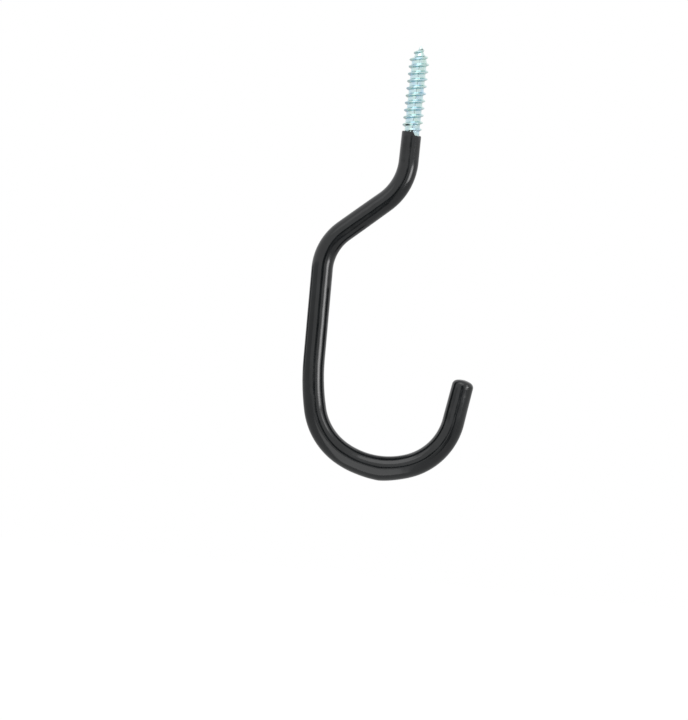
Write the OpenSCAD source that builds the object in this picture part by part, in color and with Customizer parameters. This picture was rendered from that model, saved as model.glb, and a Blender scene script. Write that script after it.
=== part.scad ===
// Screw-in ceiling hook: a bent steel rod with a wood screw thread on its top end,
// dipped in vinyl from the thread down. Millimetres, +Z up, with the origin on the
// screw's axis where the ceiling meets the coating. The hook opens towards +X.

/* [Screw] */
// From the ceiling to the screw's point
screw_len = 34; // [28:1:50]
// Bare shank between the ceiling and the thread
shank_len = 0.8; // [0.8:0.1:6]
// Diameter over the thread's crests
thread_d = 7.9; // [7:0.1:9]
// Height that the thread climbs in one turn
thread_pitch = 2.82; // [2.5:0.02:3.5]
// Width of the ridge where it leaves the core
ridge_base = 1.5; // [1.2:0.1:2]
// Width of the ridge's crest
ridge_crest = 0.4; // [0.2:0.05:0.6]
// How far the core is rolled in below the shank's surface
core_relief = 0.08; // [0.05:0.01:0.2]
// Length of the tapered point
point_len = 5.6; // [4:0.1:8]
// Direction in which the thread starts
thread_turn = 145; // [0:5:355]

/* [Rod] */
// Diameter of the steel rod
rod_d = 6; // [5:0.1:6.4]
// Straight neck below the ceiling
neck_len = 10.8; // [6:0.1:30]
// Radius of the bend below the neck
neck_bend_r = 22; // [12:0.5:35]
// Angle of the bend below the neck
neck_bend_angle = 48.5; // [30:0.5:60]
// Slanting stretch that carries the hook to one side
offset_len = 19.6; // [8:0.1:40]
// Radius of the bend back to the limb
limb_bend_r = 20; // [12:0.5:35]
// How far the limb leans in towards the bowl
limb_lean = 1; // [0:0.5:4]
// Straight limb above the bowl
limb_len = 35.1; // [15:0.1:90]

/* [Bowl] */
// Wide radius with which the limb eases into the bowl
ease_r = 83; // [50:1:150]
// Angle turned at the easing radius
ease_angle = 13.5; // [6:0.5:18]
// Radius of the bowl under the limb
bowl_entry_r = 24.5; // [18:0.5:45]
// Angle turned at the entry radius
bowl_entry_angle = 47; // [40:0.5:60]
// Radius under the load
bowl_floor_r = 32; // [22:0.5:50]
// Angle turned at the floor radius
bowl_floor_angle = 48; // [38:1:55]
// Radius where the bowl turns up to the tip
bowl_exit_r = 23.5; // [16:0.5:40]
// Angle turned at the exit radius
bowl_exit_angle = 61.5; // [45:0.5:68]
// Straight steel in the tip, past the bowl
tip_len = 15; // [5:0.1:30]

/* [Coating] */
// Wall of the coating just below its top edge
coat_top = 0.9; // [0.5:0.05:1.5]
// Wall of the coating from the limb on
coat_side = 1.25; // [0.8:0.05:2]
// Length over which the wall grows from one to the other
coat_grow_len = 45; // [20:1:60]
// Extra wall that ran down to the outside of the bowl
coat_belly = 0.85; // [0:0.05:1.5]
// Half of the length that the extra wall covers
coat_belly_len = 58; // [20:1:70]
// Height of the drip that set at the lowest point
drip_h = 0.45; // [0:0.05:1.5]
// Half of the drip's length
drip_len = 8; // [4:0.5:15]
// Coating past the end of the steel at the tip
coat_end = 1.6; // [1:0.1:4]
// Rounding of the tip's corner
tip_round = 2.2; // [1:0.1:2.8]
// Radius of the tip's domed end
tip_crown_r = 8; // [6:0.5:20]
// How much higher the top edge is on the limb's side
edge_slant = 1.5; // [0:0.1:2]
// Where the top edge steps down, as a share of the rod's radius towards the bowl
edge_step_at = 0.05; // [-0.6:0.05:0.4]
// Width of that step, as a share of the radius
edge_step = 0.4; // [0.3:0.05:1.2]
// Rounding of the top edge
edge_round = 0.45; // [0.2:0.05:0.5]

/* [Hidden] */
$fn = 72;

// Sides of the coating's rings, and the longest step between two of them
coat_sides = 28;
coat_step = 3.2;
coat_bend_step = 6.5;
// Sides of one turn of the thread
turn_sides = 24;
// Share of the ridge's last turn over which it sinks into the shank
run_out = 0.5;
// Share of the point over which the ridge starts
ridge_start = 0.45;
// Radius that the core keeps at the very point
nib_r = 0.12;
// How far a stretch laps over its neighbours, and how much thicker it is
lap_len = 0.4;
lap_wall = 0.02;

rod_r = rod_d / 2;
core_r = rod_r - core_relief;
ridge_h = thread_d / 2 - core_r;

// The route of the rod's centre line from the ceiling to the tip: each stretch is
// [length, radius, angle], where a bend has the length 0 and turns towards +X if its
// angle is positive
route = [
    [neck_len, 0, 0],
    [0, neck_bend_r, -neck_bend_angle],
    [offset_len, 0, 0],
    [0, limb_bend_r, neck_bend_angle + limb_lean],
    [limb_len, 0, 0],
    [0, ease_r, ease_angle],
    [0, bowl_entry_r, bowl_entry_angle],
    [0, bowl_floor_r, bowl_floor_angle],
    [0, bowl_exit_r, bowl_exit_angle],
    [tip_len, 0, 0]
];

// Length of one stretch, and of the first n stretches together
function stretch_len(p) = p[0] + p[1] * abs(p[2]) * PI / 180;
function len_to(n) = n == 0 ? 0 : stretch_len(route[n - 1]) + len_to(n - 1);

// [x, z, heading] after a distance d along a stretch that starts at [x, z, heading].
// The heading is 0 straight down and grows towards +X
function walk(at, p, d) =
    p[1] == 0
    ? [at[0] + d * sin(at[2]), at[1] - d * cos(at[2]), at[2]]
    : let(side = sign(p[2]), turned = at[2] + side * d / p[1] * 180 / PI)
      [at[0] + side * p[1] * (cos(at[2]) - cos(turned)),
       at[1] + side * p[1] * (sin(at[2]) - sin(turned)),
       turned];

// [x, z, heading] at the distance s from the ceiling; past its end the last stretch runs on
function place(s, i = 0, at = [0, 0, 0]) =
    let(piece = stretch_len(route[i]))
    i == len(route) - 1 || s <= piece
    ? walk(at, route[i], s)
    : place(s - piece, i + 1, walk(at, route[i], piece));

steel_end = len_to(len(route));
// The lowest point lies where the heading passes 90 degrees
low_at = len_to(7) + bowl_floor_r * (90 - limb_lean - ease_angle - bowl_entry_angle) * PI / 180;

// Solid rod along the route. Every second stretch is thicker by a hair and laps over
// its neighbours, so that all of them join as one solid
module bent_rod(r) {
    for (i = [0 : len(route) - 1]) {
        p = route[i];
        at = place(len_to(i));
        laps = i % 2;
        spare = laps * lap_len / max(p[1], 1) * 180 / PI;
        translate([at[0], 0, at[1]]) rotate([0, -at[2], 0])
            if (p[1] == 0)
                translate([0, 0, -p[0]]) cylinder(r = r + laps * lap_wall, h = p[0] + laps * lap_len);
            else
                rotate([0, 0, p[2] < 0 ? 180 : 0])
                    translate([p[1], 0, 0]) rotate([0, 180 + spare, 0]) rotate([90, 0, 0])
                        rotate_extrude(angle = abs(p[2]) + 2 * spare)
                            translate([p[1], 0]) circle(r + laps * lap_wall);
    }
}

// Screw thread as one skin that winds up from inside the shank to the point. A
// station is a cut across the ridge: it holds the start of the core strip and the
// ridge's three further corners, and the strip above shares its next corner with the
// station one turn on
thread_foot = shank_len - thread_pitch;
stations = floor((screw_len - nib_r - thread_foot - thread_pitch) / thread_pitch * turn_sides);
ridge_corners = [
    [0, 0],
    [thread_pitch - ridge_base, 0],
    [thread_pitch - (ridge_base + ridge_crest) / 2, 1],
    [thread_pitch - (ridge_base - ridge_crest) / 2, 1]
];

function smooth(t) = let(u = min(1, max(0, t))) u * u * (3 - 2 * u);
function core_at(z) = nib_r + (core_r - nib_r) * min(1, max(0, (screw_len - z) / point_len));
function ridge_at(z) =
    ridge_h * smooth((z - shank_len) / (run_out * thread_pitch))
            * smooth((screw_len - z) / (ridge_start * point_len));
function thread_point(i, k) =
    let(z = thread_foot + i * thread_pitch / turn_sides + ridge_corners[k][0],
        r = core_at(z) + ridge_corners[k][1] * ridge_at(z),
        a = i * 360 / turn_sides)
    [r * cos(a), r * sin(a), z];

module wood_thread() {
    skin = [for (i = [0 : stations]) for (k = [0 : 3]) thread_point(i, k)];
    rim = [for (i = [stations + 1 : stations + turn_sides]) thread_point(i, 0)];
    foot = len(skin) + len(rim);
    tip = foot + 1;
    // Index of corner k at station i; corner 4 is the core strip of the turn above
    function at(i, k) =
        k == 4 ? at(i + turn_sides, 0) : i > stations ? len(skin) + i - stations - 1 : 4 * i + k;
    faces = concat(
        [for (i = [0 : stations - 1]) for (k = [0 : 3])
            each [[at(i, k), at(i, k + 1), at(i + 1, k + 1)], [at(i, k), at(i + 1, k + 1), at(i + 1, k)]]],
        [for (i = [0 : turn_sides - 1]) [foot, at(i, 0), at(i + 1, 0)]],
        [for (k = [0 : 3]) [foot, at(0, k + 1), at(0, k)]],
        [for (i = [stations : stations + turn_sides - 1]) [tip, at(i + 1, 0), at(i, 0)]],
        [for (k = [0 : 3]) [tip, at(stations, k), at(stations, k + 1)]]
    );
    points = concat(skin, rim, [[0, 0, thread_foot - nib_r], [0, 0, screw_len]]);
    polyhedron(points, faces, convexity = 6);
}

module steel_rod() {
    color("lightsteelblue") {
        bent_rod(rod_r);
        cylinder(r = rod_r, h = shank_len);
        rotate([0, 0, thread_turn]) wood_thread();
    }
}

// The coating's outer skin. A ring is [distance along the route, share of the wall]:
// the top edge and the tip are rounded, and between them the wall is whole
outer_end = steel_end + coat_end;
round_steps = 4;
edge_rings = [for (k = [0 : round_steps - 1])
    let(a = 90 * k / round_steps) [edge_round * (1 - cos(a)), edge_round * (sin(a) - 1)]];

// The tip's corner is an arc that runs on into the crown, where both lean by crown_lean
tip_r = rod_r + coat_side;
crown_lean = asin((tip_r - tip_round) / (tip_crown_r - tip_round));
crown_at = outer_end - tip_crown_r;
corner_at = crown_at + (tip_crown_r - tip_round) * cos(crown_lean);
crown_steps = 2;
tip_rings = concat(
    [for (k = [1 : round_steps])
        let(a = 90 - (90 - crown_lean) * k / round_steps)
        [corner_at + tip_round * cos(a), tip_round * (sin(a) - 1)]],
    [for (k = [1 : crown_steps])
        let(a = crown_lean * (1 - k / (crown_steps + 1)))
        [crown_at + tip_crown_r * cos(a), tip_crown_r * sin(a) - tip_r]]
);

// Distances of the plain rings: each stretch is cut evenly by length or by angle
function cuts(i) =
    let(p = route[i], n = ceil(p[1] == 0 ? p[0] / coat_step : abs(p[2]) / coat_bend_step))
    [for (k = [0 : n - 1]) len_to(i) + stretch_len(p) * k / n];
skin_from = 2 * edge_round;
skin_to = corner_at - edge_round;
body_rings = [for (i = [0 : len(route) - 1]) for (s = cuts(i)) if (s > skin_from && s < skin_to) [s, 0]];
rings = concat(edge_rings, [[skin_from, 0]], body_rings, [[corner_at, 0]], tip_rings);

// Wall on the side that faces the angle a, where 0 is the inside of the bowl
function belly(s) = coat_belly * pow(cos(90 * min(1, abs(s - low_at) / coat_belly_len)), 2);
function drip(s) = drip_h * pow(1 - min(1, abs(s - low_at) / drip_len), 1.3);
function wall(s, a) =
    let(out = (1 - cos(a)) / 2)
    coat_top + (coat_side - coat_top) * smooth(s / coat_grow_len)
        + belly(s) * pow(out, 1.5) + drip(s) * pow(out, 4);

function coat_point(ring, j) =
    let(s = ring[0], a = 360 * j / coat_sides,
        at = place(s),
        r = rod_r + wall(s, a) + ring[1],
        slant = edge_slant * (0.5 - smooth((cos(a) - edge_step_at) / edge_step))
              * (1 - smooth(s / (2 * neck_len / 3))),
        side = r * cos(a))
    [at[0] + side * cos(at[2]), r * sin(a), at[1] + side * sin(at[2]) + slant];

module coating_skin() {
    n = coat_sides;
    last = len(rings) - 1;
    tip = place(outer_end);
    points = concat(
        [for (ring = rings) for (j = [0 : n - 1]) coat_point(ring, j)],
        [[0, 0, 0], [tip[0], 0, tip[1]]]
    );
    faces = concat(
        [for (m = [0 : last - 1]) for (j = [0 : n - 1])
            let(a = m * n + j, b = m * n + (j + 1) % n)
            each [[a, b, b + n], [a, b + n, a + n]]],
        [for (j = [0 : n - 1]) [len(points) - 2, (j + 1) % n, j]],
        [for (j = [0 : n - 1]) [len(points) - 1, last * n + j, last * n + (j + 1) % n]]
    );
    polyhedron(points, faces, convexity = 8);
}

module vinyl_coating() {
    color("#26292a")
        difference() {
            coating_skin();
            bent_rod(rod_r);
            cylinder(r = rod_r, h = shank_len + edge_slant);
        }
}

steel_rod();
vinyl_coating();
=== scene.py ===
# %% [markdown]
# # A screw-in ceiling hook
# This is a storage hook for a garage or shed ceiling: a steel rod with a wood screw
# thread on its top end, bent to a deep bowl and dipped in black vinyl. The real one is
# made in that order, so the lesson follows it: roll the thread, bend the rod, dip it.
# Two finishes meet on it, bright zinc and glossy vinyl, and both show mostly what they
# reflect. So the last cells build the studio with as much care as the metal.
#
# The plain solids of the CAD part are loaded first. Each piece that is modelled below
# takes the place of one of them, and has to stay inside their box.

# %% Load the frame
import math

import bmesh
import bpy
from mathutils import Matrix, Vector, noise


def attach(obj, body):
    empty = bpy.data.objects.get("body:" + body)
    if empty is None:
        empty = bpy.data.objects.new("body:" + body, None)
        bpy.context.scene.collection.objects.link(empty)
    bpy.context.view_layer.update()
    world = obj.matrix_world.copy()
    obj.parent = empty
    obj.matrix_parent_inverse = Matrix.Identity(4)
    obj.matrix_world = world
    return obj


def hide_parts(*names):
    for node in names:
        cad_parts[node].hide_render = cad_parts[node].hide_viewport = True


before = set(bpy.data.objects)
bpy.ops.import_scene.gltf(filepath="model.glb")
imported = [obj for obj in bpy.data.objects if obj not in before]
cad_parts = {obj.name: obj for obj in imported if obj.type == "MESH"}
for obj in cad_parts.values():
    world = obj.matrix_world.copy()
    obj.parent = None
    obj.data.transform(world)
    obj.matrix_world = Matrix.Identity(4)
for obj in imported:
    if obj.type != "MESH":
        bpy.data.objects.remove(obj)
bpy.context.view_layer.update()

# %% [markdown]
# ## The hook's own measures
# A rod bender works from a list: so much straight, then this radius through that angle.
# The same list places everything here, so a point on the hook is given by how far along
# the rod it lies. All sizes are in millimetres, and one factor turns them into metres.

# %% Driving sizes
MM = 0.001

ROD_R = 6.0 / 2
NECK_BEND_ANGLE = 48.5
LIMB_LEAN = 1.0
EASE_ANGLE = 13.5
ENTRY_ANGLE = 47.0
FLOOR_R = 32.0

# Name, straight length, radius of the bend, and degrees towards the bowl's open side
ROUTE = [
    ("neck", 10.8, 0, 0),
    ("neck bend", 0, 22.0, -NECK_BEND_ANGLE),
    ("offset", 19.6, 0, 0),
    ("limb bend", 0, 20.0, NECK_BEND_ANGLE + LIMB_LEAN),
    ("limb", 35.1, 0, 0),
    ("ease", 0, 83.0, EASE_ANGLE),
    ("bowl entry", 0, 24.5, ENTRY_ANGLE),
    ("bowl floor", 0, FLOOR_R, 48.0),
    ("bowl exit", 0, 23.5, 61.5),
    ("tip", 15.0, 0, 0),
]
NECK_LEN = ROUTE[0][1]
TIP_LEN = ROUTE[-1][1]


def stretch_len(stretch):
    """Length of the rod's centre line in one stretch."""
    _, straight, radius, angle = stretch
    return straight + radius * math.radians(abs(angle))


STEEL_END = sum(stretch_len(s) for s in ROUTE)

# The hook is lowest where the rod has turned level, part of the way along the bowl's floor
stretch_names = [stretch[0] for stretch in ROUTE]
before_floor = ROUTE[: stretch_names.index("bowl floor")]
LOW_AT = sum(stretch_len(s) for s in before_floor)
LOW_AT += FLOOR_R * math.radians(90 - LIMB_LEAN - EASE_ANGLE - ENTRY_ANGLE)
print(f"The rod is {STEEL_END:.1f} mm long below the ceiling, and lowest at {LOW_AT:.1f} mm")

# %% [markdown]
# ## Following the rod
# A cursor that knows its place and its heading is enough to follow any bent rod. It is a
# matrix: its origin is on the centre line, its Z points back up the rod, and its X points
# to the side that the bowl opens to. A straight move slides it, a bend turns it.

# %% A cursor that walks along the route
ROD_STEP = 4.0
ROD_TURN_STEP = 3.0


def moved(cursor, straight, radius, turn):
    """The cursor after a straight move, or after a bend through turn degrees."""
    if radius == 0:
        return cursor @ Matrix.Translation((0, 0, -straight * MM))
    side = math.copysign(radius * MM, turn)
    about = Matrix.Translation((side, 0, 0)) @ Matrix.Rotation(math.radians(-turn), 4, "Y")
    return cursor @ about @ Matrix.Translation((-side, 0, 0))


def steps_along(route, straight_step, bend_step):
    """Cuts the route into short moves, and yields each move with the distance it ends at."""
    s = 0.0
    for name, straight, radius, angle in route:
        count = math.ceil(straight / straight_step if radius == 0 else abs(angle) / bend_step)
        for _ in range(count):
            s += stretch_len((name, straight, radius, angle)) / count
            yield s, straight / count, radius, angle / count


end_cursor = Matrix.Identity(4)
for _, straight, radius, turn in steps_along(ROUTE, ROD_STEP, ROD_TURN_STEP):
    end_cursor = moved(end_cursor, straight, radius, turn)
print("The steel ends at", [round(v / MM, 1) for v in end_cursor.translation])

# %% [markdown]
# ## Drawing a tube behind the cursor
# A curve with a round bevel would make a tube at once, but its rings could not be told
# apart later, and the vinyl needs each one. So a ring of edges is extruded straight or
# spun through a bend, one step at a time, and every ring is kept with its distance.


# %% Extrude and spin a ring along the route
def open_edges(ring):
    """The edges between a ring's own vertices that have a free side, each of them once."""
    inside = set(ring)
    touching = dict.fromkeys(e for v in ring for e in v.link_edges)
    return [e for e in touching if len(e.link_faces) < 2 and set(e.verts) <= inside]


def new_verts(made):
    """The vertices among what an operator made."""
    return [g for g in made if isinstance(g, bmesh.types.BMVert)]


def next_ring(bm, ring, cursor, straight, radius, turn):
    """Adds one band of faces below ring, and returns the vertices of the new ring."""
    edges = open_edges(ring)
    if radius == 0:
        verts = new_verts(bmesh.ops.extrude_edge_only(bm, edges=edges)["geom"])
        heading = cursor.to_3x3() @ Vector((0, 0, -1))
        bmesh.ops.translate(bm, verts=verts, vec=heading * straight * MM)
        return verts
    side = math.copysign(radius * MM, turn)
    made = bmesh.ops.spin(
        bm,
        geom=edges,
        cent=cursor @ Vector((side, 0, 0)),
        axis=cursor.to_3x3() @ Vector((0, 1, 0)),
        angle=math.radians(-turn),
        steps=1,
        use_merge=False,
        use_duplicate=False,
    )
    return new_verts(made["geom_last"])


def tube(bm, ring, start, route, straight_step, bend_step):
    """Draws a tube from ring along route. Returns [distance, cursor, vertices] of each ring."""
    cursor = start
    rings = [[0.0, cursor.copy(), ring]]
    for s, straight, radius, turn in steps_along(route, straight_step, bend_step):
        ring = next_ring(bm, ring, cursor, straight, radius, turn)
        cursor = moved(cursor, straight, radius, turn)
        rings.append([s, cursor.copy(), ring])
    return rings


ring_count = len(list(steps_along(ROUTE, ROD_STEP, ROD_TURN_STEP)))
print(f"The rod takes {ring_count} rings, {ROD_STEP} mm or {ROD_TURN_STEP} degrees apart at most")

# %% [markdown]
# A finished mesh becomes an object in one place. Its doubles are merged there and its faces are
# turned outwards, then it is hung on the body that it moves with, and the solid that it stands for
# is hidden.

# %% From a bmesh to a piece of the hook
SAME_POINT = 0.0001 * MM


def link_mesh(bm, name):
    """Puts a finished bmesh into the scene as an object."""
    mesh = bpy.data.meshes.new(name)
    bm.to_mesh(mesh)
    bm.free()
    piece = bpy.data.objects.new(name, mesh)
    bpy.context.scene.collection.objects.link(piece)
    return piece


def as_object(bm, name, node):
    """Turns a finished bmesh into a piece that rides on the root and stands for a node."""
    bmesh.ops.remove_doubles(bm, verts=bm.verts, dist=SAME_POINT)
    bmesh.ops.recalc_face_normals(bm, faces=bm.faces)
    for face in bm.faces:
        face.smooth = True
    unclosed = sum(1 for e in bm.edges if not e.is_manifold)
    piece = link_mesh(bm, name)
    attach(piece, "root")
    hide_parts(node)
    print(f"{name}: {len(piece.data.polygons)} faces, {unclosed} open edges")
    return piece


print(f"Points closer than {SAME_POINT / MM:.4f} mm are merged")

# %% [markdown]
# ## The wood screw thread
# The thread is rolled: hardened dies press a V groove into the blank, and the metal
# flows up into a ridge with a narrow, slightly rounded crest. Between two turns of the
# ridge the core stays flat, which sets a wood screw apart from a machine screw.
# Blender's Screw modifier winds a profile too, but spin with a rise per step leaves a
# plain mesh that can be tapered and cut. The profile covers exactly one pitch, so the
# top of each turn is the bottom of the next one.

# %% The thread's sizes
SCREW_LEN = 34.0
SHANK_LEN = 0.8
THREAD_D = 7.9
THREAD_PITCH = 2.82
RIDGE_BASE = 1.5
RIDGE_CREST = 0.4
CORE_RELIEF = 0.08
POINT_LEN = 5.6
NIB_R = 0.12
NIB_LEN = 0.18

# Where the winding starts round the axis, so that the ridges lie as the photo shows them
THREAD_TURN = math.radians(145)

# The core is rolled a little thinner than the rod
CORE_R = ROD_R - CORE_RELIEF
RIDGE_H = THREAD_D / 2 - CORE_R

# The ridge rises out of the shank over part of a turn, and starts over part of the point
RUN_OUT = 0.5
RIDGE_START = 0.45


def smooth_share(t):
    """0 below 0, 1 above 1, and an S between them."""
    t = min(1.0, max(0.0, t))
    return t * t * (3 - 2 * t)


def core_at(z):
    """Radius of the core at a height above the ceiling: straight, then tapered to the nib."""
    return NIB_R + (CORE_R - NIB_R) * min(1.0, max(0.0, (SCREW_LEN - z) / POINT_LEN))


def ridge_at(z):
    """Share of the ridge's height: it rises out of the shank and starts near the point."""
    low = smooth_share((z - SHANK_LEN) / (RUN_OUT * THREAD_PITCH))
    return low * smooth_share((SCREW_LEN - z) / (RIDGE_START * POINT_LEN))


print(f"The core is {2 * CORE_R:.2f} mm thick, and the ridge stands {RIDGE_H:.2f} mm off it")

# %% [markdown]
# Half of the ridge's section is enough, because the other half mirrors it. It has a small
# fillet at the foot and rounded corners at the crest. On the flat core, one ring close to
# each foot keeps the fillet's shading from spreading over the flat.

# %% The ridge's section
FOOT_SUPPORT = 0.06

# [how far from the ridge's middle, share of its height]
FOOT = RIDGE_BASE / 2
CREST = RIDGE_CREST / 2
HALF_RIDGE = [
    [FOOT + 0.12, 0.0],
    [FOOT - 0.02, 0.05],
    [FOOT - 0.14, 0.2],
    [(FOOT + CREST) / 2, 0.5],
    [CREST + 0.06, 0.86],
    [CREST - 0.02, 0.97],
]


def ridge_profile():
    """[height within the pitch, share of the ridge's height], from one core strip to the next."""
    middle = THREAD_PITCH - RIDGE_BASE / 2
    left = [[middle - d, h] for d, h in HALF_RIDGE]
    right = [[middle + d, h] for d, h in reversed(HALF_RIDGE)]
    low, high = right[-1][0] - THREAD_PITCH, left[0][0]
    strip = [[low, 0.0], [low + FOOT_SUPPORT, 0.0], [high - FOOT_SUPPORT, 0.0]]
    return strip + left + [[middle, 1.0]] + right


print(f"The section has {len(ridge_profile())} points over one pitch of {THREAD_PITCH} mm")

# %% [markdown]
# Spin winds the section round the screw's axis and lifts it by one pitch a turn. The
# winding starts two turns too low and ends past the point, and both ends are cut off in
# the next step.

# %% Roll the thread
TURN_STEPS = 72
SPARE_TURNS = 2
TURN_WELD = 0.001 * MM


def roll_thread(bm):
    """Winds the profile up from below the shank's end to past the point."""
    foot = SHANK_LEN - SPARE_TURNS * THREAD_PITCH
    profile = ridge_profile()
    verts = [bm.verts.new(((CORE_R + h * RIDGE_H) * MM, 0, (foot + z) * MM)) for z, h in profile]
    edges = [bm.edges.new(pair) for pair in zip(verts, verts[1:])]
    turns = math.ceil((SCREW_LEN - foot) / THREAD_PITCH) + 1
    bmesh.ops.spin(
        bm,
        geom=verts + edges,
        cent=(0, 0, 0),
        axis=(0, 0, 1),
        dvec=(0, 0, THREAD_PITCH * MM / TURN_STEPS),
        angle=math.tau * turns,
        steps=turns * TURN_STEPS,
        use_merge=False,
        use_duplicate=False,
    )
    start = Matrix.Rotation(THREAD_TURN, 3, "Z")
    bmesh.ops.rotate(bm, verts=bm.verts, cent=(0, 0, 0), matrix=start)
    bmesh.ops.remove_doubles(bm, verts=bm.verts, dist=TURN_WELD)
    return turns


rod_mesh = bmesh.new()
turns = roll_thread(rod_mesh)
print(f"{turns} turns were wound, with {len(rod_mesh.faces)} faces")

# %% [markdown]
# The gimlet point is ground by the same dies. Here it is a taper: each vertex keeps its
# share of the ridge's height, and takes the core's radius at its own level. Then two
# planes cut the winding off square, at the shank and just under the point.

# %% Taper the point and cut both ends
ON_PLANE = 1e-9
SAME_LEVEL = 0.001 * MM


def taper(bm):
    """Takes each vertex in to the core's radius at its level, with its share of the ridge."""
    for v in bm.verts:
        z = v.co.z / MM
        flat = Vector((v.co.x, v.co.y, 0))
        share = (flat.length / MM - CORE_R) / RIDGE_H
        wanted = core_at(z) + share * RIDGE_H * ridge_at(z)
        flat = flat.normalized() * wanted * MM
        v.co.x, v.co.y = flat.x, flat.y


def cut(bm, level, keep_above):
    """Cuts the mesh at a height in millimetres, and drops what is on the other side."""
    bmesh.ops.bisect_plane(
        bm,
        geom=list(bm.verts) + list(bm.edges) + list(bm.faces),
        dist=ON_PLANE,
        plane_co=(0, 0, level * MM),
        plane_no=(0, 0, 1),
        clear_inner=keep_above,
        clear_outer=not keep_above,
    )


def boundary_ring(bm, level):
    """The vertices of the open edges that lie at one height in millimetres."""
    rim = [v for e in bm.edges if e.is_boundary for v in e.verts]
    return list(dict.fromkeys(v for v in rim if abs(v.co.z - level * MM) < SAME_LEVEL))


taper(rod_mesh)
cut(rod_mesh, SHANK_LEN, keep_above=True)
cut(rod_mesh, SCREW_LEN - NIB_LEN, keep_above=False)
point_ring = boundary_ring(rod_mesh, SCREW_LEN - NIB_LEN)
shank_ring = boundary_ring(rod_mesh, SHANK_LEN)
print(f"The point's rim has {len(point_ring)} vertices and the shank's has {len(shank_ring)}")

# %% [markdown]
# ## The bent rod
# Below the thread the blank keeps its full diameter, a little more than the core's. The
# cut edge of the thread is extruded outwards for that step, down to the ceiling, and then
# along the route. Most of it is hidden by the vinyl, but it is all there, as in the
# real one.

# %% Close the point and draw the rod
# Two smaller rings round the nib off: [scale, share of the nib's length]
NIB_RINGS = [[0.6, 0.7], [0.3, 0.25]]


def band(bm, ring, scale, shift):
    """Extrudes a ring that lies square to Z, scales it about its axis and lifts it."""
    verts = new_verts(bmesh.ops.extrude_edge_only(bm, edges=open_edges(ring))["geom"])
    bmesh.ops.scale(bm, verts=verts, vec=(scale, scale, 1))
    bmesh.ops.translate(bm, verts=verts, vec=(0, 0, shift * MM))
    return verts


def close(bm, ring):
    """Fills an open ring with one face."""
    bmesh.ops.holes_fill(bm, edges=open_edges(ring), sides=0)


for scale, share in NIB_RINGS:
    point_ring = band(rod_mesh, point_ring, scale, NIB_LEN * share)
close(rod_mesh, point_ring)
shank_ring = band(rod_mesh, shank_ring, ROD_R / CORE_R, -CORE_RELIEF)
shank_ring = band(rod_mesh, shank_ring, 1.0, CORE_RELIEF - SHANK_LEN)
rod_rings = tube(rod_mesh, shank_ring, Matrix.Identity(4), ROUTE, ROD_STEP, ROD_TURN_STEP)
close(rod_mesh, rod_rings[-1][2])
steel_rod = as_object(rod_mesh, "zinc_plated_rod", "steel_rod")

# %% [markdown]
# ## The vinyl coating
# The hot rod is dipped in liquid vinyl and pulled out. The skin is thin at the top, where
# it drained first, thicker down the limb, and thickest on the outside of the bowl, where
# the last of it ran together and set in a low drip. A Solidify modifier would give the
# same wall everywhere. Instead each vertex of a plain tube is moved out by the wall that
# the skin has at that distance and on that side.

# %% How thick the vinyl is
COAT_TOP = 0.9
COAT_SIDE = 1.25
COAT_GROW_LEN = 45.0
COAT_BELLY = 0.85
COAT_BELLY_LEN = 58.0
DRIP_H = 0.45
DRIP_LEN = 8.0
DRIP_POINT = 1.3

# Powers of the share that faces outwards: a high one keeps to a narrow line
BELLY_WRAP = 1.5
DRIP_WRAP = 4

# The smooth skin is this much thinner than the solid's, so that it stays inside its box
WALL_SPARE = 0.06


def belly(s):
    """Extra wall on the outside of the bowl, at a distance s along the rod."""
    return COAT_BELLY * math.cos(math.pi / 2 * min(1.0, abs(s - LOW_AT) / COAT_BELLY_LEN)) ** 2


def drip(s):
    """Height of the set drip at a distance s along the rod."""
    return DRIP_H * (1 - min(1.0, abs(s - LOW_AT) / DRIP_LEN)) ** DRIP_POINT


def wall(s, inward):
    """Wall at a distance s. inward is 1 on the inside of the bowl and -1 on its outside."""
    out = max(0.0, (1 - inward) / 2)
    side = COAT_TOP + (COAT_SIDE - COAT_TOP) * smooth_share(s / COAT_GROW_LEN)
    return side - WALL_SPARE + belly(s) * out**BELLY_WRAP + drip(s) * out**DRIP_WRAP


print(f"The wall is {wall(NECK_LEN / 2, 0):.2f} mm at the neck, {wall(LOW_AT, -1):.2f} at the drip")

# %% [markdown]
# The top edge of the skin isn't level. It stands higher on the limb's side, drops over a
# short step, and is a little ragged all round. The step is an S curve across the rod, and
# noise that is read round the rod gives the ragged line.

# %% The coating's top edge
EDGE_SLANT = 1.5
EDGE_STEP_AT = 0.05
EDGE_STEP = 0.4
EDGE_FADE_LEN = NECK_LEN * 2 / 3
EDGE_RAGGED = 0.3
RAGGED_LEN = 1.5
RAGGED_SCALE = 4.5
RAGGED_SLICE = 0.2


def edge_lift(s, out, inward):
    """How far the top edge is lifted on the limb's side, and its ragged line, fading downwards."""
    fade = 1 - smooth_share(s / EDGE_FADE_LEN)
    step = EDGE_SLANT * (0.5 - smooth_share((inward - EDGE_STEP_AT) / EDGE_STEP))
    ragged = EDGE_RAGGED * noise.noise(Vector((out.x, out.y, RAGGED_SLICE)) * RAGGED_SCALE)
    return step * fade + ragged * (1 - smooth_share(s / RAGGED_LEN))


high_side = edge_lift(0, Vector((-1, 0, 0)), -1)
low_side = edge_lift(0, Vector((1, 0, 0)), 1)
print(f"The edge is {high_side:.2f} mm up on the limb's side and {low_side:.2f} on the other")

# %% [markdown]
# The tube needs close rings where its outline turns quickly: at the rounded top edge, and
# at the tip with its rounded corner and low crown. Two short lists give them, each ring
# with its distance along the rod and how far it is set in from the full skin.

# %% Rings for the edge and the tip
COAT_END = 1.6
EDGE_ROUND = 0.45
TIP_ROUND = 2.2
TIP_CROWN_R = 8.0
EDGE_RINGS = 6
CORNER_RINGS = 10
CROWN_RINGS = 5

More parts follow.
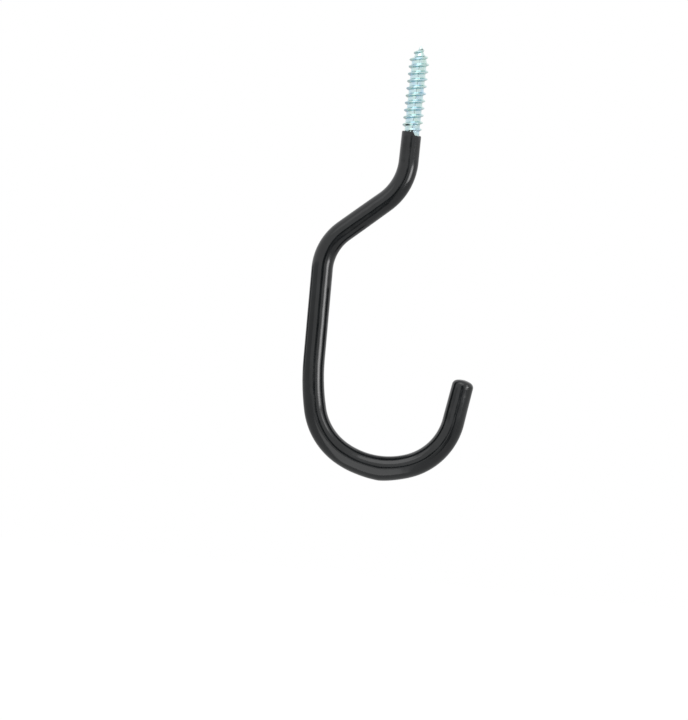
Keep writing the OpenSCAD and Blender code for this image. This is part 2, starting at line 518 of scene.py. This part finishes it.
TIP_R = ROD_R + COAT_SIDE
CROWN_LEAN = math.asin((TIP_R - TIP_ROUND) / (TIP_CROWN_R - TIP_ROUND))
CROWN_AT = STEEL_END + COAT_END - TIP_CROWN_R
CORNER_AT = CROWN_AT + (TIP_CROWN_R - TIP_ROUND) * math.cos(CROWN_LEAN)


def edge_marks():
    """[distance, inset] of the rings round the top edge, over a quarter circle."""
    angles = [math.pi / 2 * k / EDGE_RINGS for k in range(EDGE_RINGS + 1)]
    return [[EDGE_ROUND * (1 - math.cos(a)), EDGE_ROUND * (1 - math.sin(a))] for a in angles]


def tip_marks():
    """[distance, inset] of the rings round the tip's corner and over its crown."""
    marks = []
    for k in range(1, CORNER_RINGS + 1):
        a = math.pi / 2 - (math.pi / 2 - CROWN_LEAN) * k / CORNER_RINGS
        marks.append([CORNER_AT + TIP_ROUND * math.cos(a), TIP_ROUND * (1 - math.sin(a))])
    for k in range(1, CROWN_RINGS + 1):
        a = CROWN_LEAN * (1 - k / (CROWN_RINGS + 1))
        marks.append([CROWN_AT + TIP_CROWN_R * math.cos(a), TIP_R - TIP_CROWN_R * math.sin(a)])
    return marks


print(f"The crown leans {math.degrees(CROWN_LEAN):.1f} degrees where it meets the tip's corner")

# %% [markdown]
# The outer face is drawn as a plain tube of the rod's own radius, so that spin and
# extrude can do all of it. The wall is put on later, once the inner face has been drawn
# from the same top ring. The last ring is merged to one point at the top of the crown.

# %% Dip the rod
RING_SIDES = 96
SKIN_STEP = 1.5
SKIN_TURN_STEP = 2.0


def straight_rings(bm, last, marks):
    """Adds a ring at each marked distance, straight on from the last ring."""
    s, cursor, ring = last
    rings = []
    for there, _ in marks:
        ring = next_ring(bm, ring, cursor, there - s, 0, 0)
        cursor = moved(cursor, there - s, 0, 0)
        s = there
        rings.append([s, cursor.copy(), ring])
    return rings


def coat_outside(bm):
    """The skin's outer face from its top edge to the tip. Returns its rings and insets."""
    ring = bmesh.ops.create_circle(bm, segments=RING_SIDES, radius=ROD_R * MM)["verts"]
    edge = edge_marks()
    rings = [[0.0, Matrix.Identity(4), ring]]
    rings += straight_rings(bm, rings[0], edge[1:])
    start, cursor, ring = rings[-1]
    run = CORNER_AT - (STEEL_END - TIP_LEN)
    route = [("neck", NECK_LEN - start, 0, 0), *ROUTE[1:-1], ("tip", run, 0, 0)]
    body = tube(bm, ring, cursor, route, SKIN_STEP, SKIN_TURN_STEP)[1:]
    for entry in body:
        entry[0] += start
    tip = tip_marks()
    rings += body + straight_rings(bm, body[-1], tip)
    insets = [inset for _, inset in edge] + [0.0] * len(body) + [inset for _, inset in tip]
    return rings, insets


coat_mesh = bmesh.new()
coat_rings, coat_insets = coat_outside(coat_mesh)
s, cursor, verts = coat_rings[-1]
to_apex = STEEL_END + COAT_END - s
apex = moved(cursor, to_apex, 0, 0).translation
last_ring = next_ring(coat_mesh, verts, cursor, to_apex, 0, 0)
bmesh.ops.pointmerge(coat_mesh, verts=last_ring, merge_co=apex)
print(f"The skin has {len(coat_rings)} rings of {RING_SIDES} sides")

# %% [markdown]
# The inside of the skin lies on the steel. It starts from the top edge's own ring, turns
# in to the rod and follows it to its end, so the coating is a closed wall that could be
# printed or weighed.

# %% Line the coating
WALL_GAP = 0.01


def bare_gap(s, inward):
    """What the inner face keeps off the steel, the same at every distance and side."""
    return WALL_GAP


def shape_ring(entry, off_steel, inset):
    """Moves a ring of the plain tube off the steel, less an inset, and lifts it at the edge."""
    s, cursor, verts = entry
    across = cursor.to_3x3() @ Vector((1, 0, 0))
    lift = cursor.to_3x3() @ Vector((0, 0, 1))
    for v in verts:
        out = (v.co - cursor.translation).normalized()
        inward = out.dot(across)
        v.co = cursor.translation + out * (ROD_R + off_steel(s, inward) - inset) * MM
        v.co += lift * edge_lift(s, out, inward) * MM


inner_ring = band(coat_mesh, coat_rings[0][2], 1.0, 0.0)
inner_rings = tube(coat_mesh, inner_ring, Matrix.Identity(4), ROUTE, ROD_STEP, ROD_TURN_STEP)
close(coat_mesh, inner_rings[-1][2])
for entry in inner_rings:
    shape_ring(entry, bare_gap, 0.0)
for entry, inset in zip(coat_rings, coat_insets):
    shape_ring(entry, wall, inset)
vinyl_coating = as_object(coat_mesh, "dipped_vinyl_skin", "vinyl_coating")

# %% [markdown]
# ## Finishes
# Both finishes are procedural. The patterns read Object coordinates, which are metres on
# the hook, and one Mapping node turns them into millimetres. A noise then has a scale of
# one over the size that its patches have on the real hook.


# %% Helpers for materials
def linear(hex_colour):
    """An sRGB hex colour as the linear RGBA that Blender's sockets want."""
    parts = [int(hex_colour[i : i + 2], 16) / 255 for i in (1, 3, 5)]
    return [c / 12.92 if c <= 0.04045 else ((c + 0.055) / 1.055) ** 2.4 for c in parts] + [1.0]


def add(tree, kind, links=None, **settings):
    """Adds one node. links are {input: output socket}, settings are attributes or inputs."""
    node = tree.nodes.new(kind)
    for key, value in settings.items():
        if hasattr(node, key):
            setattr(node, key, value)
        else:
            node.inputs[key.replace("_", " ")].default_value = value
    for key, socket in (links or {}).items():
        tree.links.new(socket, node.inputs[key])
    return node


def empty_material(name):
    """A node material without nodes."""
    material = bpy.data.materials.new(name)
    material.use_nodes = True
    material.node_tree.nodes.clear()
    return material, material.node_tree


def new_material(name):
    """A node material with its output node and millimetre coordinates."""
    material, tree = empty_material(name)
    output = add(tree, "ShaderNodeOutputMaterial")
    place = add(tree, "ShaderNodeTexCoord")
    mapping = add(tree, "ShaderNodeMapping", {"Vector": place.outputs["Object"]})
    mapping.inputs["Scale"].default_value = (1 / MM, 1 / MM, 1 / MM)
    return material, tree, output, mapping.outputs["Vector"]


print(f"A grey of #808080 is {linear('#808080')[0]:.3f} in linear light")

# %% [markdown]
# ### Bright zinc plate
# Zinc plated steel with a clear blue passivation: the chromate film is so thin that it
# tints the metal pale blue, with drifts of green and straw where it is thicker. The
# plating is bright, so it mirrors the room with only a little blur, and a metal keeps
# the default IOR. The tint drifts over a few millimetres, and a finer noise is the
# plating's grain. The real grain is too fine to show, so it is drawn 0.2 mm coarse.

# %% Zinc plate
TINT_DRIFT = 2.857
PLATE_GRAIN = 0.2
GRAIN_DEPTH = 0.01 * MM


def zinc_plate():
    """Bright zinc: a mirror-like metal, faintly blue, green and straw."""
    material, tree, output, mm = new_material("bright_zinc_plate")
    drift = add(tree, "ShaderNodeTexNoise", {"Vector": mm}, Scale=1 / TINT_DRIFT, Detail=2.0)
    tint = add(tree, "ShaderNodeValToRGB", {"Fac": drift.outputs["Fac"]})
    tint.color_ramp.elements[0].position = 0.3
    tint.color_ramp.elements[0].color = linear("#c5e0d7")
    tint.color_ramp.elements[1].position = 0.7
    tint.color_ramp.elements[1].color = linear("#bedaeb")
    straw = tint.color_ramp.elements.new(0.42)
    straw.color = linear("#cde5e1")
    grain = add(tree, "ShaderNodeTexNoise", {"Vector": mm}, Scale=1 / PLATE_GRAIN, Detail=4.0)
    rough = add(tree, "ShaderNodeMapRange", {"Value": grain.outputs["Fac"]})
    rough.inputs["To Min"].default_value = 0.05
    rough.inputs["To Max"].default_value = 0.13
    links = {"Height": grain.outputs["Fac"]}
    bump = add(tree, "ShaderNodeBump", links, Strength=0.35, Distance=GRAIN_DEPTH)
    links = {
        "Base Color": tint.outputs["Color"],
        "Roughness": rough.outputs["Result"],
        "Normal": bump.outputs["Normal"],
    }
    shader = add(tree, "ShaderNodeBsdfPrincipled", links, Metallic=1.0)
    tree.links.new(shader.outputs["BSDF"], output.inputs["Surface"])
    return material


steel_rod.data.materials.append(zinc_plate())
print("Zinc plate is on", steel_rod.name)

# %% [markdown]
# ### Dipped vinyl
# Plastisol vinyl cures with a wet gloss. Its black is deep, so nearly all of its light is
# the clear reflection at the surface, drawn long and soft by the slow waves that the
# liquid left as it drained. The waves are a few millimetres long, and a fine noise dulls
# the gloss here and there, as handling does.

# %% Vinyl
RUN_WAVES = 6.25
WAVE_DEPTH = 0.2 * MM
DULL_SPOTS = 0.4545
SPOT_DEPTH = 0.01 * MM


def dipped_vinyl():
    """Cured plastisol: a deep black under a wet gloss."""
    material, tree, output, mm = new_material("dip_moulded_vinyl")
    waves = add(tree, "ShaderNodeTexNoise", {"Vector": mm}, Scale=1 / RUN_WAVES, Detail=1.0)
    spots = add(tree, "ShaderNodeTexNoise", {"Vector": mm}, Scale=1 / DULL_SPOTS, Detail=3.0)
    shade = add(tree, "ShaderNodeValToRGB", {"Fac": waves.outputs["Fac"]})
    shade.color_ramp.elements[0].position = 0.35
    shade.color_ramp.elements[0].color = linear("#111416")
    shade.color_ramp.elements[1].position = 0.65
    shade.color_ramp.elements[1].color = linear("#191c1e")
    rough = add(tree, "ShaderNodeMapRange", {"Value": spots.outputs["Fac"]})
    rough.inputs["From Min"].default_value = 0.3
    rough.inputs["From Max"].default_value = 0.7
    rough.inputs["To Min"].default_value = 0.1
    rough.inputs["To Max"].default_value = 0.17
    links = {"Height": waves.outputs["Fac"]}
    slow = add(tree, "ShaderNodeBump", links, Strength=0.6, Distance=WAVE_DEPTH)
    links = {"Height": spots.outputs["Fac"], "Normal": slow.outputs["Normal"]}
    fine = add(tree, "ShaderNodeBump", links, Strength=0.25, Distance=SPOT_DEPTH)
    links = {
        "Base Color": shade.outputs["Color"],
        "Roughness": rough.outputs["Result"],
        "Normal": fine.outputs["Normal"],
    }
    shader = add(tree, "ShaderNodeBsdfPrincipled", links, IOR=1.5)
    tree.links.new(shader.outputs["BSDF"], output.inputs["Surface"])
    return material


vinyl_coating.data.materials.append(dipped_vinyl())
print("Vinyl is on", vinyl_coating.name)

# %% [markdown]
# ## The studio
# Glossy black shows only its surroundings, so they are laid out like a small product
# studio: a white room, a softbox overhead, glowing cards at the right for the long
# highlight, grey cards that calm the sides, and black flags that cut the dark lines
# which give the rod its roundness. All cards are seen by reflections alone. Floor and
# walls are white to the camera by their own colour, and no lamp is turned up for it.

# %% A white room
AMBIENT = 0.7
WHITE = (1, 1, 1, 1)


def seen_directly(tree):
    """1 for rays that show the background: from the camera, a reflection or through glass."""
    path = add(tree, "ShaderNodeLightPath")
    camera_ray, glossy_ray = path.outputs["Is Camera Ray"], path.outputs["Is Glossy Ray"]
    clear_ray = path.outputs["Is Transmission Ray"]
    first = add(tree, "ShaderNodeMath", {0: camera_ray, 1: glossy_ray}, operation="MAXIMUM")
    both = add(tree, "ShaderNodeMath", {0: first.outputs[0], 1: clear_ray}, operation="MAXIMUM")
    return both.outputs[0]


def white_world():
    """A room that is white where it is seen, and a little dimmer as light on the hook."""
    world = bpy.data.worlds.new("white_studio")
    bpy.context.scene.world = world
    world.use_nodes = True
    tree = world.node_tree
    tree.nodes.clear()
    shown = add(tree, "ShaderNodeBackground", Color=WHITE, Strength=1.0)
    ambient = add(tree, "ShaderNodeBackground", Color=WHITE, Strength=AMBIENT)
    links = {"Fac": seen_directly(tree), 1: ambient.outputs[0], 2: shown.outputs[0]}
    mix = add(tree, "ShaderNodeMixShader", links)
    add(tree, "ShaderNodeOutputWorld", {"Surface": mix.outputs[0]})


white_world()
print("The room is white where it is seen, and lights the hook at", AMBIENT, "of that")

# %% [markdown]
# The floor is a sheet of white paper below the hook, and it takes the hook's shadow. To
# the camera alone it also glows a little, so that it reads as white at the plain level
# of the lamps.

# %% A white floor
FLOOR_Z = -0.30
FLOOR_SIZE = 6.0
FLOOR_LIFT = 0.45
PAPER = "#e8e8e8"


def white_floor():
    """White paper that keeps the hook's shadow, and glows a little to the camera alone."""
    bm = bmesh.new()
    bmesh.ops.create_grid(bm, x_segments=1, y_segments=1, size=FLOOR_SIZE / 2)
    bmesh.ops.translate(bm, verts=bm.verts, vec=(0, 0, FLOOR_Z))
    floor = link_mesh(bm, "floor")
    material, tree = empty_material("white_paper")
    paper = add(tree, "ShaderNodeBsdfDiffuse", Color=linear(PAPER))
    path = add(tree, "ShaderNodeLightPath")
    lift = add(tree, "ShaderNodeMath", {0: path.outputs["Is Camera Ray"]}, operation="MULTIPLY")
    lift.inputs[1].default_value = FLOOR_LIFT
    glow = add(tree, "ShaderNodeEmission", {"Strength": lift.outputs[0]}, Color=WHITE)
    both = add(tree, "ShaderNodeAddShader", {0: paper.outputs[0], 1: glow.outputs[0]})
    add(tree, "ShaderNodeOutputMaterial", {"Surface": both.outputs[0]})
    floor.data.materials.append(material)


white_floor()

# %% [markdown]
# Directions in the studio are easier to plan than places. A helper turns an angle to the
# right of the camera, an angle up and a distance in metres into a place that faces the
# hook. The one real lamp is a softbox that is put up that way.

# %% Aim at the hook, and a softbox
MIDDLE = Vector((0, 0, -0.075))
SCREW_MIDDLE = Vector((0, 0, 0.021))


def studio_place(right_deg, up_deg, distance, about):
    """A place seen from a point of the hook, turned so that its -Z faces that point."""
    a, e = math.radians(right_deg), math.radians(up_deg)
    way = Vector((math.sin(a) * math.cos(e), -math.cos(a) * math.cos(e), math.sin(e)))
    facing = way.to_track_quat("Z", "Y").to_matrix().to_4x4()
    return Matrix.Translation(about + way * distance) @ facing


def softbox(name, right_deg, up_deg, distance, wide, tall, watts):
    """Hangs up a lamp with a rectangular face that the camera doesn't see."""
    data = bpy.data.lights.new(name, "AREA")
    data.shape = "RECTANGLE"
    data.size = wide
    data.size_y = tall
    data.energy = watts
    lamp = bpy.data.objects.new(name, data)
    lamp.matrix_world = studio_place(right_deg, up_deg, distance, MIDDLE)
    bpy.context.scene.collection.objects.link(lamp)
    lamp.visible_camera = False


softbox("top_softbox", -12, 56, 0.6, 0.5, 0.36, 0.8)
print("The softbox is up")

# %% [markdown]
# A card has an even glow that fades towards its edges, as a softbox does, so that its
# reflection has no hard end. Its UV map runs from 0 to 1 across and along it, and the
# fade reads that. Where it has faded out the card is clear, so the room shows through.


# %% What a card is made of
def edge_fade(tree, position, share):
    """1 in the middle of the card and 0 at its edge, falling over a share of its half size."""
    offset = add(tree, "ShaderNodeMath", {0: position}, operation="SUBTRACT")
    offset.inputs[1].default_value = 0.5
    reach = add(tree, "ShaderNodeMath", {0: offset.outputs[0]}, operation="ABSOLUTE")
    links = {"Value": reach.outputs[0]}
    fall = add(tree, "ShaderNodeMapRange", links, interpolation_type="SMOOTHSTEP")
    fall.inputs["From Min"].default_value = 0.5 - 0.5 * share
    fall.inputs["From Max"].default_value = 0.5
    fall.inputs["To Min"].default_value = 1.0
    fall.inputs["To Max"].default_value = 0.0
    return fall.outputs["Result"]


def card_material(name, glow, fades):
    """An even glow, where the white room has 1, that fades across and along the card."""
    material, tree = empty_material(name)
    place = add(tree, "ShaderNodeTexCoord")
    parts = add(tree, "ShaderNodeSeparateXYZ", {"Vector": place.outputs["UV"]})
    across = edge_fade(tree, parts.outputs["X"], fades[0])
    along = edge_fade(tree, parts.outputs["Y"], fades[1])
    both = add(tree, "ShaderNodeMath", {0: across, 1: along}, operation="MULTIPLY")
    level = add(tree, "ShaderNodeMath", {0: both.outputs[0]}, operation="MULTIPLY")
    level.inputs[1].default_value = glow
    light = add(tree, "ShaderNodeEmission", {"Strength": level.outputs[0]}, Color=WHITE)
    clear = add(tree, "ShaderNodeBsdfTransparent")
    links = {"Fac": both.outputs[0], 1: clear.outputs[0], 2: light.outputs[0]}
    mix = add(tree, "ShaderNodeMixShader", links)
    add(tree, "ShaderNodeOutputMaterial", {"Surface": mix.outputs[0]})
    return material


print("A fade of 1 starts in the middle of the card, and one of 0.1 keeps to its edge")

# %% [markdown]
# Cards are plain meshes. The ray switches of the object keep a card out of the picture and stop its
# shadow, so that only reflections find it.

# %% Put up a card
SLIGHT_FADES = (0.1, 0.1)


def only_reflected(bm, name, glow, fades):
    """Puts a card in the scene that reflections see, and nothing else."""
    made = link_mesh(bm, name)
    made.data.materials.append(card_material(name, glow, fades))
    for ray in ("camera", "diffuse", "shadow", "transmission"):
        setattr(made, "visible_" + ray, False)


def card(name, right_deg, up_deg, distance, wide, tall, glow, fades=SLIGHT_FADES, about=MIDDLE):
    """Puts up a rectangular card, with its sizes in metres, that faces the hook."""
    bm = bmesh.new()
    bm.loops.layers.uv.new("uv")
    bmesh.ops.create_grid(bm, x_segments=1, y_segments=1, size=0.5, calc_uvs=True)
    bmesh.ops.scale(bm, verts=bm.verts, vec=(wide, tall, 1))
    place = studio_place(right_deg, up_deg, distance, about)
    bmesh.ops.transform(bm, verts=bm.verts, matrix=place)
    only_reflected(bm, name, glow, fades)


print("A card fades over", SLIGHT_FADES, "of its half sizes unless it is told otherwise")

# %% [markdown]
# The glowing cards come first. Two of them join into the long highlight at the right, and
# two smaller ones give the soft lights from high on the left and from low in front. The
# grey cards stand in for the calm sides of the room. The dim ones stand behind the hook,
# and the vinyl shows them along its outline, where it reflects most. A white card near
# the screw shields the thread from the long highlight, which would sparkle on each turn.

# %% Glowing and grey cards
card("key_strip", 55.5, 0.6, 0.48, 0.48, 0.138, 7.9, fades=(0.95, 0.3))
card("key_upper", 55, 21, 0.51, 0.3, 0.27, 4.2, fades=(0.95, 0.6))
card("high_left", -51, 43, 0.39, 0.22, 0.18, 1.5, fades=(0.5, 0.5))
card("low_front", -12, -55, 0.23, 0.24, 0.46, 1.75, fades=(0.4, 0.3))
card("grey_left", -72, -7, 0.9, 1.0, 0.46, 0.58)
card("grey_right", 92, -7, 0.9, 0.9, 0.46, 0.7)
card("dim_left", -124, -0.5, 0.8, 0.5, 0.13, 0.12, fades=(0.3, 0.3))
card("dim_right", 124, -8, 0.8, 0.5, 0.5, 0.75, fades=(0.3, 0.2))
card("dim_above", 180, 58, 0.8, 0.6, 0.4, 0.4, fades=(0.3, 0.3))
card("white_by_screw", 58, 0, 0.06, 0.075, 0.06, 0.9, about=SCREW_MIDDLE)
print("Ten cards are up")

# %% [markdown]
# Flags are black cards. A wide one stands in front, towards the camera, and draws the dark line
# down the middle of the limb. Smaller ones carry it on above and below, and darken the tip and the
# bend of the bowl. The last one is a narrow black block in the open middle of the bowl, and it is
# painted shade: it stands in for the shade inside the bowl, which the inner sides of limb and tip
# reflect as a dark line.

# %% Black flags
BLOCK_LOW = Vector((-5, -6, -105)) * MM
BLOCK_HIGH = Vector((8, 4, -62)) * MM
BLOCK_GLOW = 0.05


def painted_shade_in_bowl(low, high):
    """A narrow black block in the open middle of the bowl: painted shade for the inner sides of
    limb and tip to reflect.
    """
    bm = bmesh.new()
    uv = bm.loops.layers.uv.new("uv")
    bmesh.ops.create_cube(bm, size=1.0)
    bmesh.ops.scale(bm, verts=bm.verts, vec=high - low)
    bmesh.ops.translate(bm, verts=bm.verts, vec=(high + low) / 2)
    for face in bm.faces:
        for loop in face.loops:
            loop[uv].uv = (0.5, 0.5)
    only_reflected(bm, "painted_shade_in_bowl", BLOCK_GLOW, SLIGHT_FADES)


card("flag_camera", 3.2, 3.3, 0.6, 0.27, 0.128, 0.03, fades=(0.1, 0.12))
card("flag_lens", 6, 11, 0.6, 0.08, 0.09, 0.3, fades=(0.4, 0.2))
card("flag_low", 15.5, -7, 0.6, 0.13, 0.07, 0.05, fades=(0.3, 0.3))
card("flag_by_tip", 21.5, -10, 0.25, 0.042, 0.06, 0.03, fades=(0.4, 0.3))
card("flag_by_bend", 29.5, -21.5, 0.27, 0.05, 0.07, 0.03, fades=(0.4, 0.3))
# Painted shade: a black block that only reflections see, standing in for the shade inside the bowl
painted_shade_in_bowl(BLOCK_LOW, BLOCK_HIGH)
print("Six flags are up")

# %% [markdown]
# ## The camera
# The photo was taken from the front with a long lens, and the hook leans in it. So the
# camera looks along +Y and is rolled, with the hook where the picture has it. Two pixel
# places fix that: the screw's point and the ceiling level on its axis.

# %% Camera
FRAME_W, FRAME_H = 688, 720
POINT_PX = Vector((421.0, 46.15))
ORIGIN_PX = Vector((411.65, 133.6))
LENS = 250.0
SENSOR = 36.0

axis_px = POINT_PX - ORIGIN_PX
px_per_mm = axis_px.length / SCREW_LEN
roll = math.atan2(axis_px.x, -axis_px.y)
distance = FRAME_H / px_per_mm * MM * LENS / SENSOR
centre_px = Vector((FRAME_W / 2, FRAME_H / 2)) - ORIGIN_PX
right, up = centre_px.x / px_per_mm * MM, -centre_px.y / px_per_mm * MM

rolled = Matrix.Rotation(-roll, 4, "Y")
level = Matrix.Rotation(math.radians(90), 4, "X")
place = rolled @ Vector((right, 0, up)) + Vector((0, -distance, 0))

camera_data = bpy.data.cameras.new("camera")
camera_data.lens = LENS
camera_data.sensor_width = SENSOR
camera = bpy.data.objects.new("camera", camera_data)
camera.matrix_world = Matrix.Translation(place) @ rolled @ level
bpy.context.scene.collection.objects.link(camera)
bpy.context.scene.camera = camera
print(f"{px_per_mm:.3f} pixels a millimetre, roll {math.degrees(roll):.1f} degrees")
print(f"The camera is {distance:.2f} m away")

# %% [markdown]
# ## Colour
# The Standard view shows each colour about as it is written.

# %% Colour
bpy.context.scene.view_settings.view_transform = "Standard"
